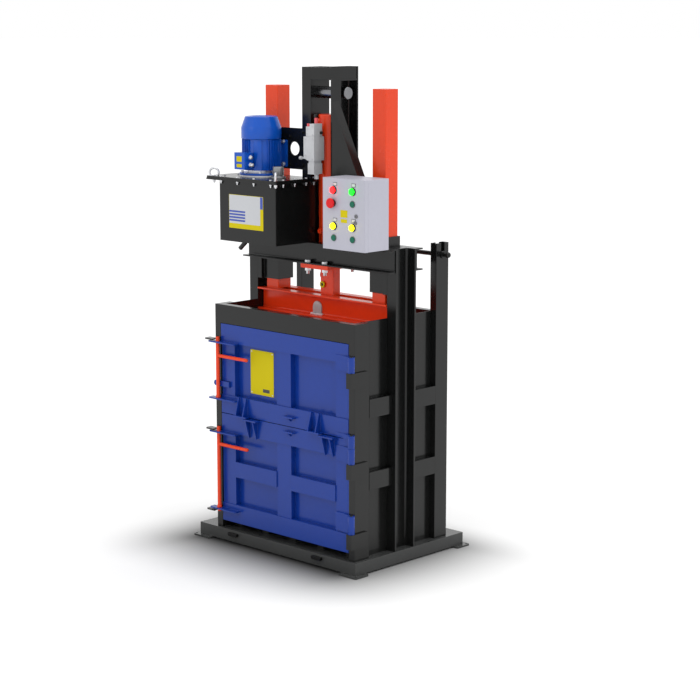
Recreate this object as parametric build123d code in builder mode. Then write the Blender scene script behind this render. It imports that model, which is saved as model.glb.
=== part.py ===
from build123d import *
import os

os.makedirs("parts", exist_ok=True)

# ---------------------------------------------------------------- driving dimensions (mm)
# Layout figures are measured from the front right corner of the base, X to the right
# (so the machine lies at negative x), Y to the rear, Z up. OX and OY move them to the
# model origin, which is on the ground under the middle of the base.
OX, OY = 640.0, -454.0

BASE_W, BASE_D = 1280.0, 908.0
BASE_Z0, DECK_T, BASE_H = 10.0, 8.0, 80.0
FOOT_OVER, FOOT_L, FOOT_D, ANCHOR_R = 30.0, 140.0, 110.0, 7.0
ANCHOR_IN = 15.0                      # hole centre, in from the foot plate's outer edges

XM = -586.5                           # middle of the columns, ram and chamber
YM = 404.0                            # middle of the columns, cylinder and guide bars
COL_HALF, COL_B, COL_H = 586.5, 68.0, 165.0
COL_Z1 = 1786.0
CH_HALF, POST_W, POST_D = 561.5, 45.0, 115.0
CH_Z1 = 1408.0
LINTEL_Z0 = 1300.0
REAR_POST_Y0, REAR_POST_D, REAR_POST_Z1 = 684.0, 103.0, 1794.0
REAR_WALL_Y = 690.0
SHEET = 4.0
BEAM_Z0, BEAM_Z1, BEAM_B = 1662.0, 1786.0, 55.0
SLEEVE, BAR, BAR_OFF = 120.0, 100.0, 425.5
SLEEVE_Z0, SLEEVE_Z1 = 1535.0, 1850.0
BAR_Z1 = 2660.0
TOWER_HALF, TOWER_B, TOWER_H = 149.0, 70.0, 150.0
TOWER_Z1 = 2776.0
HEAD_HALF, HEAD_Z0, HEAD_Z1 = 515.0, 1350.0, 1480.0
PLATEN_HALF, PLATEN_Y0, PLATEN_Y1, PLATEN_T = 513.0, 72.0, 682.0, 20.0
BARREL_OD, BARREL_ID, ROD_D = 130.0, 110.0, 60.0
DOOR_X0, DOOR_X1 = -1100.0, -73.0
DOOR_Y0, DOOR_Y1 = 19.5, 63.5
LOW_Z0, LOW_Z1, UP_Z0, UP_Z1 = 123.0, 767.0, 771.0, 1297.0
STILE = 108.0
HX, HY = -31.0, -1.0                  # door hinge line
PIN_R, PIN_CLEAR = 8.0, 0.05
BARREL_R = 19.5
RODX, RODY, ROD_R = -1108.0, 0.0, 11.0
CAB_X0, CAB_X1, CAB_Y0, CAB_Y1, CAB_Z0, CAB_Z1 = -325.0, -5.0, 78.0, 265.0, 1797.0, 2187.0
CAB_DOOR_T = 25.0
TANK = (-1083.0, -622.0, 6.0, 320.0, 1786.0, 2130.0)
MOTX, MOTY, MOT_Z0 = -943.0, 206.0, 2159.0


# ---------------------------------------------------------------- small building helpers
def block(x0, x1, y0, y1, z0, z1, mode=Mode.ADD):
    with Locations(((x0 + x1) / 2 + OX, (y0 + y1) / 2 + OY, (z0 + z1) / 2)):
        Box(abs(x1 - x0), abs(y1 - y0), abs(z1 - z0), mode=mode)


def rod_z(x, y, z0, z1, r, mode=Mode.ADD):
    with Locations((x + OX, y + OY, (z0 + z1) / 2)):
        Cylinder(r, z1 - z0, mode=mode)


def rod_x(x0, x1, y, z, r, mode=Mode.ADD):
    with Locations(((x0 + x1) / 2 + OX, y + OY, z)):
        Cylinder(r, x1 - x0, rotation=(0, 90, 0), mode=mode)


def rod_y(x, y0, y1, z, r, mode=Mode.ADD):
    with Locations((x + OX, (y0 + y1) / 2 + OY, z)):
        Cylinder(r, y1 - y0, rotation=(90, 0, 0), mode=mode)


def hex_z(x, y, z0, z1, flats, mode=Mode.ADD):
    with BuildSketch(Plane.XY.offset(z0)) as sk:
        with Locations((x + OX, y + OY)):
            RegularPolygon(flats / 2, 6, major_radius=False)
    extrude(sk.sketch, amount=z1 - z0, mode=mode)


def hex_x(x0, x1, y, z, flats, mode=Mode.ADD):
    with BuildSketch(Plane.YZ.offset(x0 + OX)) as sk:
        with Locations((y + OY, z)):
            RegularPolygon(flats / 2, 6, major_radius=False)
    extrude(sk.sketch, amount=x1 - x0, mode=mode)


def hex_y(x, y0, y1, z, flats, mode=Mode.ADD):
    with BuildSketch(Plane.XZ.offset(-(y0 + OY))) as sk:
        with Locations((x + OX, z)):
            RegularPolygon(flats / 2, 6, major_radius=False)
    extrude(sk.sketch, amount=-(y1 - y0), mode=mode)


def prism_x(points, x0, x1, mode=Mode.ADD):
    # a y-z outline pushed along X
    with BuildSketch(Plane.YZ.offset(x0 + OX)) as sk:
        with BuildLine():
            Polyline([(y + OY, z) for y, z in points], close=True)
        make_face()
    extrude(sk.sketch, amount=x1 - x0, mode=mode)


def prism_y(points, y0, y1, mode=Mode.ADD):
    # an x-z outline pushed along Y
    with BuildSketch(Plane.XZ.offset(-(y0 + OY))) as sk:
        with BuildLine():
            Polyline([(x + OX, z) for x, z in points], close=True)
        make_face()
    extrude(sk.sketch, amount=-(y1 - y0), mode=mode)


def prism_z(points, z0, z1, mode=Mode.ADD):
    with BuildSketch(Plane.XY.offset(z0)) as sk:
        with BuildLine():
            Polyline([(x + OX, y + OY) for x, y in points], close=True)
        make_face()
    extrude(sk.sketch, amount=z1 - z0, mode=mode)


def channel_v(x_back, x_tip, y0, y1, z0, z1, tw, tf, r):
    # upright channel: web at x_back, flange tips at x_tip
    s = 1 if x_tip > x_back else -1
    with BuildSketch(Plane.XY.offset(z0)) as sk:
        with BuildLine():
            Polyline([(x + OX, y + OY) for x, y in (
                (x_back, y0), (x_tip, y0), (x_tip, y0 + tf), (x_back + s * tw, y0 + tf),
                (x_back + s * tw, y1 - tf), (x_tip, y1 - tf), (x_tip, y1), (x_back, y1))], close=True)
        make_face()
        inner = [v for v in sk.vertices() if abs(v.X - (x_back + s * tw + OX)) < 0.1]
        fillet(inner, r)
    extrude(sk.sketch, amount=z1 - z0)


def channel_x(y_back, y_tip, x0, x1, z0, z1, tw, tf, r):
    # channel lying along X: web at y_back, flange tips at y_tip
    s = 1 if y_tip > y_back else -1
    with BuildSketch(Plane.YZ.offset(x0 + OX)) as sk:
        with BuildLine():
            Polyline([(y + OY, z) for y, z in (
                (y_back, z0), (y_tip, z0), (y_tip, z0 + tf), (y_back + s * tw, z0 + tf),
                (y_back + s * tw, z1 - tf), (y_tip, z1 - tf), (y_tip, z1), (y_back, z1))], close=True)
        make_face()
        inner = [v for v in sk.vertices() if abs(v.X - (y_back + s * tw + OY)) < 0.1]
        fillet(inner, r)
    extrude(sk.sketch, amount=x1 - x0)


def save(part, name):
    part.label = name
    export_step(part, "parts/" + name + ".step")


def mx(x):
    # mirror a layout x about the machine's middle
    return 2 * XM - x


# ================================================================ base
with BuildPart() as base_frame:
    block(-BASE_W, 0, 0, BASE_D, BASE_Z0, BASE_H)
    block(-BASE_W + 70, -70, 70, BASE_D - 70, BASE_Z0 - 1, BASE_H - DECK_T, mode=Mode.SUBTRACT)
    for xa in (-1150.0, -680.0, -160.0):
        block(xa, xa + 60, 69, BASE_D - 69, BASE_Z0, BASE_H - DECK_T)
        block(xa + 5, xa + 55, 60, BASE_D - 60, BASE_Z0 + 5, BASE_H - DECK_T - 5, mode=Mode.SUBTRACT)
    # box sections all round
    zb0, zb1 = BASE_Z0 + 6, BASE_H - DECK_T
    for ya in (6.0, BASE_D - 64):
        block(-BASE_W + 6, -6, ya, ya + 58, zb0, zb1, mode=Mode.SUBTRACT)
    for xa in (-BASE_W + 6, -64.0):
        block(xa, xa + 58, 6, BASE_D - 6, zb0, zb1, mode=Mode.SUBTRACT)
    # small lug plates on the front face, with a pair of holes each
    for xa in (-1021.0, -331.0):
        prism_y([(xa, 66), (xa, 52), (xa + 8, 46), (xa + 66, 46), (xa + 74, 52), (xa + 74, 66)], -18, 1)
        rod_z(xa + 22, -9, 44, 68, 5, mode=Mode.SUBTRACT)
        rod_z(xa + 52, -9, 44, 68, 5, mode=Mode.SUBTRACT)
save(base_frame.part, "base_frame")

with BuildPart() as foot_plates:
    for sx in (0, 1):
        for sy in (0, 1):
            xa = FOOT_OVER - FOOT_L if sx else -BASE_W - FOOT_OVER
            ya = BASE_D + FOOT_OVER - FOOT_D if sy else -FOOT_OVER
            with BuildSketch(Plane.XY):
                with Locations((xa + FOOT_L / 2 + OX, ya + FOOT_D / 2 + OY)):
                    RectangleRounded(FOOT_L, FOOT_D, 12)
                hx = FOOT_OVER - ANCHOR_IN if sx else -BASE_W - FOOT_OVER + ANCHOR_IN
                hy = BASE_D + FOOT_OVER - ANCHOR_IN if sy else -FOOT_OVER + ANCHOR_IN
                with Locations((hx + OX, hy + OY)):
                    Circle(ANCHOR_R, mode=Mode.SUBTRACT)
            extrude(amount=BASE_Z0)
save(foot_plates.part, "foot_plates")

# ================================================================ main columns and rear posts
with BuildPart() as column_right:
    channel_v(-COL_B, 0, YM - COL_H / 2, YM + COL_H / 2, BASE_H, COL_Z1, 8, 12, 16)
save(column_right.part, "column_right")
with BuildPart() as column_left:
    channel_v(mx(-COL_B), mx(0), YM - COL_H / 2, YM + COL_H / 2, BASE_H, COL_Z1, 8, 12, 16)
save(column_left.part, "column_left")

SLOT_Y, SLOT_W, BAR_R, BAR_Z = 738.0, 30.0, 13.0, 1729.0


def rear_post(x0, x1):
    y0, y1 = REAR_POST_Y0, REAR_POST_Y0 + REAR_POST_D
    block(x0, x1, y0, y1, BASE_H, REAR_POST_Z1)
    block(x0 + 4, x1 - 4, y0 + 4, y1 - 4, BASE_H + 4, REAR_POST_Z1 + 1, mode=Mode.SUBTRACT)
    # open notch at the top, where the reel bar drops in
    block(x0 - 1, x1 + 1, SLOT_Y - SLOT_W / 2, SLOT_Y + SLOT_W / 2, BAR_Z, REAR_POST_Z1 + 1, mode=Mode.SUBTRACT)
    rod_x(x0 - 1, x1 + 1, SLOT_Y, BAR_Z, SLOT_W / 2, mode=Mode.SUBTRACT)


with BuildPart() as rear_post_right:
    rear_post(XM + CH_HALF - POST_W, XM + CH_HALF)
save(rear_post_right.part, "rear_post_right")
with BuildPart() as rear_post_left:
    rear_post(XM - CH_HALF, XM - CH_HALF + POST_W)
save(rear_post_left.part, "rear_post_left")

# the bar for the strap reels lies in the notches, with a ball at each end
with BuildPart() as reel_bar:
    rod_x(XM - CH_HALF - 38, XM + CH_HALF + 38, SLOT_Y, BAR_Z - (SLOT_W / 2 - BAR_R), BAR_R)
    for xe in (XM - CH_HALF - 38, XM + CH_HALF + 38):
        with Locations((xe + OX, SLOT_Y + OY, BAR_Z - (SLOT_W / 2 - BAR_R))):
            Sphere(17)
save(reel_bar.part, "reel_bar")

# ================================================================ chamber
def front_post(x0, x1):
    block(x0, x1, 20, 20 + POST_D, BASE_H, CH_Z1)
    block(x0 + 5, x1 - 5, 25, 15 + POST_D, BASE_H - 1, CH_Z1 - 5, mode=Mode.SUBTRACT)


with BuildPart() as front_frame:
    front_post(XM + CH_HALF - POST_W, XM + CH_HALF)
    front_post(XM - CH_HALF, XM - CH_HALF + POST_W)
    block(XM - CH_HALF + POST_W, XM + CH_HALF - POST_W, 20, 65, LINTEL_Z0, CH_Z1)
    block(XM - CH_HALF + POST_W + 4, XM + CH_HALF - POST_W - 4, 25, 60, LINTEL_Z0 + 5, CH_Z1 - 5, mode=Mode.SUBTRACT)
save(front_frame.part, "front_frame")

RIB_Z = ((875.0, 979.0), (467.0, 567.0))


def side_panel(y0, y1, rib_y0, right):
    # sheet flush with the back of the column's web, two box ribs welded outside
    xs = (-COL_B, -COL_B + SHEET) if right else (mx(-COL_B + SHEET), mx(-COL_B))
    xr = (-COL_B + SHEET, XM + CH_HALF) if right else (XM - CH_HALF, mx(-COL_B + SHEET))
    block(xs[0], xs[1], y0, y1, BASE_H, CH_Z1)
    for z0, z1 in RIB_Z:
        block(xr[0], xr[1], rib_y0, y1, z0, z1)
        block(xr[0] + 4, xr[1] - 4, rib_y0 + 4, y1 - 4, z0 + 4, z1 - 4, mode=Mode.SUBTRACT)


YF0, YF1 = 20 + POST_D, YM - COL_H / 2
YR0, YR1 = YM + COL_H / 2, REAR_POST_Y0
with BuildPart() as side_panel_right:
    side_panel(YF0, YF1, YF0 + 3, True)
    side_panel(YR0, YR1, YR0, True)
save(side_panel_right.part, "side_panel_right")
with BuildPart() as side_panel_left:
    side_panel(YF0, YF1, YF0 + 3, False)
    side_panel(YR0, YR1, YR0, False)
save(side_panel_left.part, "side_panel_left")

with BuildPart() as rear_wall:
    xa, xb = XM - CH_HALF + POST_W, XM + CH_HALF - POST_W
    block(xa, xb, REAR_WALL_Y, REAR_WALL_Y + SHEET, BASE_H, CH_Z1)
    for z0, z1 in RIB_Z + ((1308.0, CH_Z1), (BASE_H, 180.0)):
        block(xa, xb, REAR_WALL_Y + SHEET, REAR_WALL_Y + 45, z0, z1)
    for xc in (XM - 170, XM + 170):
        block(xc - 40, xc + 40, REAR_WALL_Y + SHEET, REAR_WALL_Y + 45, BASE_H, CH_Z1)
    # the ribs are folded box sections
    for z0, z1 in RIB_Z + ((1308.0, CH_Z1), (BASE_H, 180.0)):
        block(xa + 4, xb - 4, REAR_WALL_Y + SHEET, REAR_WALL_Y + 41, z0 + 4, z1 - 4, mode=Mode.SUBTRACT)
    for xc in (XM - 170, XM + 170):
        block(xc - 36, xc + 36, REAR_WALL_Y + SHEET, REAR_WALL_Y + 41, BASE_H + 4, CH_Z1 - 4, mode=Mode.SUBTRACT)
save(rear_wall.part, "rear_wall")

with BuildPart() as chamber_floor:
    block(XM - CH_HALF + POST_W, XM + CH_HALF - POST_W, 68, REAR_WALL_Y, 112, 120)
    for xc in (XM - 450, XM - 225, XM, XM + 225, XM + 450):
        block(xc - 25, xc + 25, 90, REAR_WALL_Y - 20, BASE_H, 112)
save(chamber_floor.part, "chamber_floor")

# ================================================================ cross beams, guide sleeves, tower
with BuildPart() as beam_front:
    channel_x(YF1, YF1 - BEAM_B, XM - COL_HALF, XM + COL_HALF - 6, BEAM_Z0, BEAM_Z1, 7, 8, 5)
    for bx in (-68, 68):
        rod_z(XM + bx, YF1 - 31, BEAM_Z0 - 1, BEAM_Z0 + 12, 10.5, mode=Mode.SUBTRACT)
save(beam_front.part, "beam_front")
with BuildPart() as beam_rear:
    channel_x(YR0, YR0 + BEAM_B, XM - COL_HALF, XM + COL_HALF, BEAM_Z0, BEAM_Z1, 7, 8, 5)
    for bx in (-68, 68):
        rod_z(XM + bx, YR0 + 31, BEAM_Z0 - 1, BEAM_Z0 + 12, 10.5, mode=Mode.SUBTRACT)
save(beam_rear.part, "beam_rear")


def sleeve(xc):
    h, b = SLEEVE / 2, BAR / 2 + 0.4
    block(xc - h, xc + h, YM - h, YM + h, SLEEVE_Z0, SLEEVE_Z1)
    block(xc - b, xc + b, YM - b, YM + b, SLEEVE_Z0 - 1, SLEEVE_Z1 + 1, mode=Mode.SUBTRACT)


with BuildPart() as guide_sleeve_right:
    sleeve(XM + BAR_OFF)
    # packing plate to the column's web
    block(XM + BAR_OFF + SLEEVE / 2, -COL_B, YF1, YR0, SLEEVE_Z0, BEAM_Z1)
save(guide_sleeve_right.part, "guide_sleeve_right")
with BuildPart() as guide_sleeve_left:
    sleeve(XM - BAR_OFF)
    block(mx(-COL_B), XM - BAR_OFF - SLEEVE / 2, YF1, YR0, SLEEVE_Z0, BEAM_Z1)
save(guide_sleeve_left.part, "guide_sleeve_left")

TY0, TY1 = YM - TOWER_H / 2, YM + TOWER_H / 2
LIFT_Z, LIFT_R = 2628.0, 34.0


def tower_side(s):
    xb, xt = XM + s * (TOWER_HALF - TOWER_B), XM + s * TOWER_HALF
    channel_v(xb, xt, TY0, TY1, BEAM_Z0, TOWER_Z1 - (6 if s < 0 else 0), 7, 10, 11)
    # stiffener across the flanges near the top
    lo, hi = min(xb, xt), max(xb, xt)
    block(lo, hi, TY0 + 1, TY1 - 1, 2698, 2708)
    # plate that closes the channel above it
    block(xt - s * 9, xt - s * 3, TY0 + 9, TY1 - 9, 2707, TOWER_Z1 - (6 if s < 0 else 0))
    rod_x(lo - 1, hi + 1, YM, LIFT_Z, LIFT_R, mode=Mode.SUBTRACT)
    # packing plates to the two beams
    block(lo, hi, YF1, TY0, BEAM_Z0, BEAM_Z1)
    block(lo, hi, TY1, YR0, BEAM_Z0, BEAM_Z1)


with BuildPart() as tower_right:
    tower_side(1)
save(tower_right.part, "tower_right")
with BuildPart() as tower_left:
    tower_side(-1)
save(tower_left.part, "tower_left")

with BuildPart() as tower_ties:
    xa, xb = XM - TOWER_HALF + TOWER_B, XM + TOWER_HALF - TOWER_B
    block(xa, xb, TY0, TY0 + 10, 2700, TOWER_Z1 - 6)
    block(xa, xb, TY1 - 10, TY1, 2700, TOWER_Z1 - 6)
save(tower_ties.part, "tower_ties")

# round bar across the tower, for lifting the machine
with BuildPart() as lifting_bar:
    rod_x(XM - 145, XM + 145, YM, LIFT_Z, LIFT_R)
    chamfer(lifting_bar.edges().filter_by(GeomType.CIRCLE), 2)
save(lifting_bar.part, "lifting_bar")

# folded bracket that carries the control cabinet, standing on the front beam's flange
with BuildPart() as cabinet_bracket:
    xl, zt, zb, xr = XM + TOWER_HALF, 2585.0, BEAM_Z1, -48.0
    y0, y1 = YF1 - BEAM_B, TY0
    prism_y([(xl, zt), (xl, zb), (xr, zb)], y0, y0 + 6)
    prism_y([(xl, zt), (xl, zt - 16), (xr - 8, zb), (xr, zb)], y0, YF1 + 4)
    block(xl, xl + 6, y0, y1, zb, zt - 14)
save(cabinet_bracket.part, "cabinet_bracket")

# ================================================================ hydraulic cylinder
FL_Z0, FL_Z1 = 1638.0, BEAM_Z0
with BuildPart() as cylinder_barrel:
    rod_z(XM, YM, FL_Z1 - 1, 2507, BARREL_OD / 2)
    fillet(cylinder_barrel.edges().filter_by(GeomType.CIRCLE).group_by(Axis.Z)[-1], 5)
    block(XM - 107.5, XM + 107.5, YF1 - 50, YR0 + 50, FL_Z0, FL_Z1)
    # oil ports: the lower one faces the front, the upper one is turned to the left
    rod_y(XM, YM - BARREL_OD / 2 - 14, YM - BARREL_OD / 2 + 6, 1850, 17)
    rod_y(XM, YM - BARREL_OD / 2 - 15, YM - BARREL_ID / 2 + 6, 1850, 8, mode=Mode.SUBTRACT)
    port = Plane(origin=(XM + OX, YM + OY, 2466), z_dir=(-0.6, -0.8, 0.0))
    with BuildSketch(port.offset(60)):
        Circle(17)
    extrude(amount=12)
    with BuildSketch(port.offset(50)):
        Circle(8)
    extrude(amount=23, mode=Mode.SUBTRACT)
    rod_z(XM, YM, FL_Z0 - 1, 2484, BARREL_ID / 2, mode=Mode.SUBTRACT)
    for bx in (-68, 68):
        for by in (YF1 - 31, YR0 + 31):
            rod_z(XM + bx, by, FL_Z0 - 1, FL_Z1 + 1, 10.5, mode=Mode.SUBTRACT)
save(cylinder_barrel.part, "cylinder_barrel")

GLAND_Z1 = 1672.0
with BuildPart() as cylinder_gland:
    rod_z(XM, YM, FL_Z0 - 3, FL_Z0, BARREL_ID / 2 + 6)
    rod_z(XM, YM, FL_Z0, GLAND_Z1, BARREL_ID / 2)
    rod_z(XM, YM, FL_Z0 - 9, GLAND_Z1 + 1, ROD_D / 2 + 0.06, mode=Mode.SUBTRACT)
save(cylinder_gland.part, "cylinder_gland")

with BuildPart() as flange_fasteners:
    for bx in (-68, 68):
        for by in (YF1 - 31, YR0 + 31):
            hex_z(XM + bx, by, BEAM_Z0 + 8, BEAM_Z0 + 21, 30)
            rod_z(XM + bx, by, 1604, BEAM_Z0 + 9, 9.9)
            hex_z(XM + bx, by, 1622, FL_Z0, 30)
save(flange_fasteners.part, "flange_fasteners")

# ================================================================ ram (moves down)
BLK_Z1 = 1634.0
with BuildPart() as piston_rod:
    rod_z(XM, YM, BLK_Z1, 2457, ROD_D / 2)
    rod_z(XM, YM, 2423, 2457, BARREL_ID / 2 - 0.05)
    for zg in (2430, 2444):
        with BuildSketch(Plane.XY.offset(zg)):
            with Locations((XM + OX, YM + OY)):
                Circle(BARREL_ID / 2 + 1)
                Circle(BARREL_ID / 2 - 4, mode=Mode.SUBTRACT)
        extrude(amount=5, mode=Mode.SUBTRACT)
save(piston_rod.part, "piston_rod")

with BuildPart() as rod_clevis:
    block(XM - 50.5, XM + 50.5, YM - 30, YM + 30, HEAD_Z1, BLK_Z1)
    fillet(rod_clevis.edges().filter_by(Axis.Z), 4)
    # foot of the block, held between the crosshead's two channels
    block(XM - 50.5, XM + 50.5, YM - 33, YM + 33, HEAD_Z0, HEAD_Z1)
    rod_x(XM - 51, XM + 51, YM, 1588, 16, mode=Mode.SUBTRACT)
    # grease point's boss
    rod_y(XM - 27, YM - 36, YM - 29, 1537, 13)
    rod_y(XM - 27, YM - 37, YM - 20, 1537, 6, mode=Mode.SUBTRACT)
save(rod_clevis.part, "rod_clevis")

with BuildPart() as clevis_pin:
    rod_x(XM - 52, XM + 52, YM, 1588, 16)
    rod_x(XM - 64, XM - 50.5, YM, 1588, 21)
save(clevis_pin.part, "clevis_pin")

HXA, HXB = XM - HEAD_HALF, XM + HEAD_HALF
with BuildPart() as crosshead:
    channel_x(YM - 33, YM - 89, HXA, HXB, HEAD_Z0, HEAD_Z1, 7, 10, 10)
    channel_x(YM + 33, YM + 89, HXA, HXB, HEAD_Z0, HEAD_Z1, 7, 10, 10)
save(crosshead.part, "crosshead")

with BuildPart() as ram_platen:
    block(XM - PLATEN_HALF, XM + PLATEN_HALF, PLATEN_Y0, PLATEN_Y1, HEAD_Z0 - PLATEN_T, HEAD_Z0)
save(ram_platen.part, "ram_platen")


def guide_bar(xc):
    h = BAR / 2
    block(xc - h, xc + h, YM - h, YM + h, HEAD_Z1, BAR_Z1)
    fillet([e for e in guide.edges().filter_by(Axis.Z)], 3)
    block(xc - h + 6, xc + h - 6, YM - h + 6, YM + h - 6, HEAD_Z1 - 1, BAR_Z1 - 6, mode=Mode.SUBTRACT)


with BuildPart() as guide:
    guide_bar(XM + BAR_OFF)
save(guide.part, "guide_bar_right")
with BuildPart() as guide:
    guide_bar(XM - BAR_OFF)
save(guide.part, "guide_bar_left")

# ================================================================ doors
SKIN_Y0 = DOOR_Y1 - 4
RAIL_STEP = 7.0                       # the rails stand this much in front of the stiles


def door(z0, z1, mid=None):
    # box-section rails and stiles with the skin behind them
    cx0, cx1 = XM - 57, XM + 57
    stiles = ((DOOR_X0, DOOR_X0 + STILE), (DOOR_X1 - STILE + 6, DOOR_X1), (cx0, cx1))
    rails = [(DOOR_X0, DOOR_X1, z0, z0 + STILE), (DOOR_X0, DOOR_X1, z1 - STILE, z1)]
    if mid:
        # the middle rail is in two lengths, each between two stiles
        rails.append((DOOR_X0 + STILE, cx0, mid[0], mid[1]))
        rails.append((cx1, DOOR_X1 - STILE + 6, mid[0], mid[1]))
    yf = DOOR_Y0 + RAIL_STEP
    block(DOOR_X0, DOOR_X1, SKIN_Y0, DOOR_Y1, z0, z1)
    for xa, xb in stiles:
        block(xa, xb, yf, SKIN_Y0, z0, z1)
    for xa, xb, za, zb in rails:
        block(xa, xb, DOOR_Y0, SKIN_Y0, za, zb)
    for xa, xb in stiles:
        block(xa + 4, xb - 4, yf + 4, SKIN_Y0, z0 + 4, z1 - 4, mode=Mode.SUBTRACT)
    for xa, xb, za, zb in rails:
        block(xa + 4, xb - 4, DOOR_Y0 + 4, SKIN_Y0, za + 4, zb - 4, mode=Mode.SUBTRACT)


def hinge_leaf(z0, z1, leaf0, leaf1):
    # barrel round the hinge line and the strap that joins it to the door's edge
    rod_z(HX, HY, z0, z1, BARREL_R)
    block(-96, HX, DOOR_Y0 - 15, DOOR_Y0, leaf0, leaf1)
    block(-168, DOOR_X1, DOOR_Y0 - 4, DOOR_Y0 + RAIL_STEP + 1, leaf0, leaf1)
    rod_z(HX, HY, z0 - 1, z1 + 1, PIN_R + PIN_CLEAR, mode=Mode.SUBTRACT)


def bearing_plate(z0):
    # the plate that carries the locking rod, reaching past the door's edge
    prism_z([(-1172, -14), (-1164, -22), (-960, -22), (-952, -14), (-952, DOOR_Y0), (-1172, DOOR_Y0)], z0, z0 + 8)
    rod_z(RODX, RODY, z0 - 1, z0 + 9, ROD_R + PIN_CLEAR, mode=Mode.SUBTRACT)


def stop_bracket(xc, zs, up):
    # a shelf at the door's edge on two tapered ribs
    s = 1 if up else -1
    za, zb = (zs, zs + 8) if up else (zs - 8, zs)
    block(xc - 57, xc + 57, DOOR_Y0 - 42, DOOR_Y0, za, zb)
    zr = zb if up else za
    for dx in (-34, 26):
        prism_x([(DOOR_Y0, zr), (DOOR_Y0 - 40, zr), (DOOR_Y0 - 36, zr + s * 18), (DOOR_Y0 - 12, zr + s * 104), (DOOR_Y0, zr + s * 104)],
                xc + dx, xc + dx + 8)


with BuildPart() as upper_door:
    door(UP_Z0, UP_Z1)
    hinge_leaf(727, 797, UP_Z0, 797)
    hinge_leaf(1146, 1232, 1146, 1232)
    stop_bracket(-912.0, UP_Z0, True)
    stop_bracket(-322.0, UP_Z0, True)
    block(-566, -486, DOOR_Y0 - 26, DOOR_Y0, 822, 830)
    prism_x([(DOOR_Y0, 822), (DOOR_Y0 - 22, 822), (DOOR_Y0, 799)], -530, -522)
    bearing_plate(1186)
    bearing_plate(852)
    # flat tab with a round end that stops the door against the post
    block(-1142, -1030, DOOR_Y0 - 7, DOOR_Y0, 926, 958)
    block(-1098, -1030, DOOR_Y0 - 1, DOOR_Y0 + RAIL_STEP + 1, 926, 958)
    rod_y(-1142, DOOR_Y0 - 7, DOOR_Y0, 942, 16)
save(upper_door.part, "upper_door")

with BuildPart() as lower_door:
    door(LOW_Z0, LOW_Z1, (398.0, 490.0))
    hinge_leaf(638, 726, 638, 726)
    hinge_leaf(242, 345, 242, 345)
    stop_bracket(-830.0, LOW_Z1, False)
    stop_bracket(-214.0, LOW_Z1, False)
    block(-566, -486, DOOR_Y0 - 26, DOOR_Y0, 736, 744)
    prism_x([(DOOR_Y0, 736), (DOOR_Y0 - 22, 736), (DOOR_Y0, 713)], -530, -522)
    bearing_plate(652)
    block(-1098, -954, DOOR_Y0 - 1, DOOR_Y0 + RAIL_STEP + 1, 652, 660)
    bearing_plate(192)
save(lower_door.part, "lower_door")


def lock_rod(z0, z1, za, zc):
    # round rod with collars on its bearing plates and a handle arm along the door
    rod_z(RODX, RODY, z0, z1, ROD_R)
    rod_z(RODX, RODY, zc, zc + 12, 14.5)
    rod_x(RODX, -866, RODY, za, 10)
    with Locations((-866 + OX, RODY + OY, za)):
        Sphere(10)


with BuildPart() as upper_lock_rod:
    lock_rod(853, 1220, 1109, 860.3)
save(upper_lock_rod.part, "upper_lock_rod")
with BuildPart() as lower_lock_rod:
    lock_rod(179, 688, 583, 200.3)
save(lower_lock_rod.part, "lower_lock_rod")

# keeper plates on the left front post, notched for the rods
with BuildPart() as lock_keepers:
    for z0 in (1200.0, 666.0, 178.0):
        prism_z([(-1196, -18), (-1188, -26), (-1127, -26), (-1127, 20), (-1196, 20)], z0, z0 + 8)
        rod_z(RODX, RODY, z0 - 1, z0 + 9, 24, mode=Mode.SUBTRACT)
save(lock_keepers.part, "lock_keepers")

# hinge blocks round the right front post, and their pins
HINGE_Z = ((552.0, 637.5, 803.0), (156.0, 241.5, 351.0), (1060.0, 1145.5, 1238.0))
with BuildPart() as hinge_brackets:
    for z0, z1, zp in HINGE_Z:
        block(HX - 20, -11, HY - 20, 20, z0, z1)
        block(-25, -11, 19, 112, z0, z1)
        # the pin stands up out of the block and carries the door's barrels
        rod_z(HX, HY, z1, zp, PIN_R)
save(hinge_brackets.part, "hinge_brackets")

# ================================================================ power pack
tx0, tx1, ty0, ty1, tz0, tz1 = TANK
LID_Y0, LID_Y1, LID_X0, LID_X1 = -8.0, 327.0, -1180.0, -605.0
LID_Z0, LID_Z1 = tz1 + 10, tz1 + 21
# lifting eyes: x, y, turn of the ring about the upright axis, ring radius, height of its middle
EYES = ((-1136.0, 14.0, 44.0, 26.0, 18.0), (-613.5, 0.5, -46.0, 23.0, 21.0))
# lid bolt centres along the front, right and left edges
BOLTS = [(x, ty0 - 7.0) for x in (-1060.0, -925.0, -789.0, -653.0)] + \
        [(tx1 + 8.5, y) for y in (58.0, 148.0, 238.0, 300.0)] + \
        [(tx0 - 8.5, y) for y in (58.0, 163.0, 268.0)]
RIM_X0 = LID_X0 + 1
with BuildPart() as oil_tank:
    block(tx0, tx1, ty0, ty1, tz0, tz1)
    fillet(oil_tank.edges().filter_by(Axis.Z), 4)
    block(RIM_X0, LID_X1, LID_Y0, LID_Y1 - 3, tz1, tz1 + 8)
    block(tx0 + 4, tx1 - 4, ty0 + 4, ty1 - 4, tz0 + 4, tz1 + 9, mode=Mode.SUBTRACT)
    for bx, by in BOLTS:
        rod_z(bx, by, tz1 - 1, tz1 + 9, 4.5, mode=Mode.SUBTRACT)
    for ex, ey, ea, er, eh in EYES:
        rod_z(ex, ey, tz1 - 1, tz1 + 9, 5.5, mode=Mode.SUBTRACT)
    # drain stub low on the front edge of the floor
    with BuildSketch(Plane(origin=(-896 + OX, 34 + OY, tz0 + 2), z_dir=(-0.75, 0.0, -0.66))):
        Circle(13)
        Circle(7, mode=Mode.SUBTRACT)
    extrude(amount=62)
save(oil_tank.part, "oil_tank")

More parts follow.
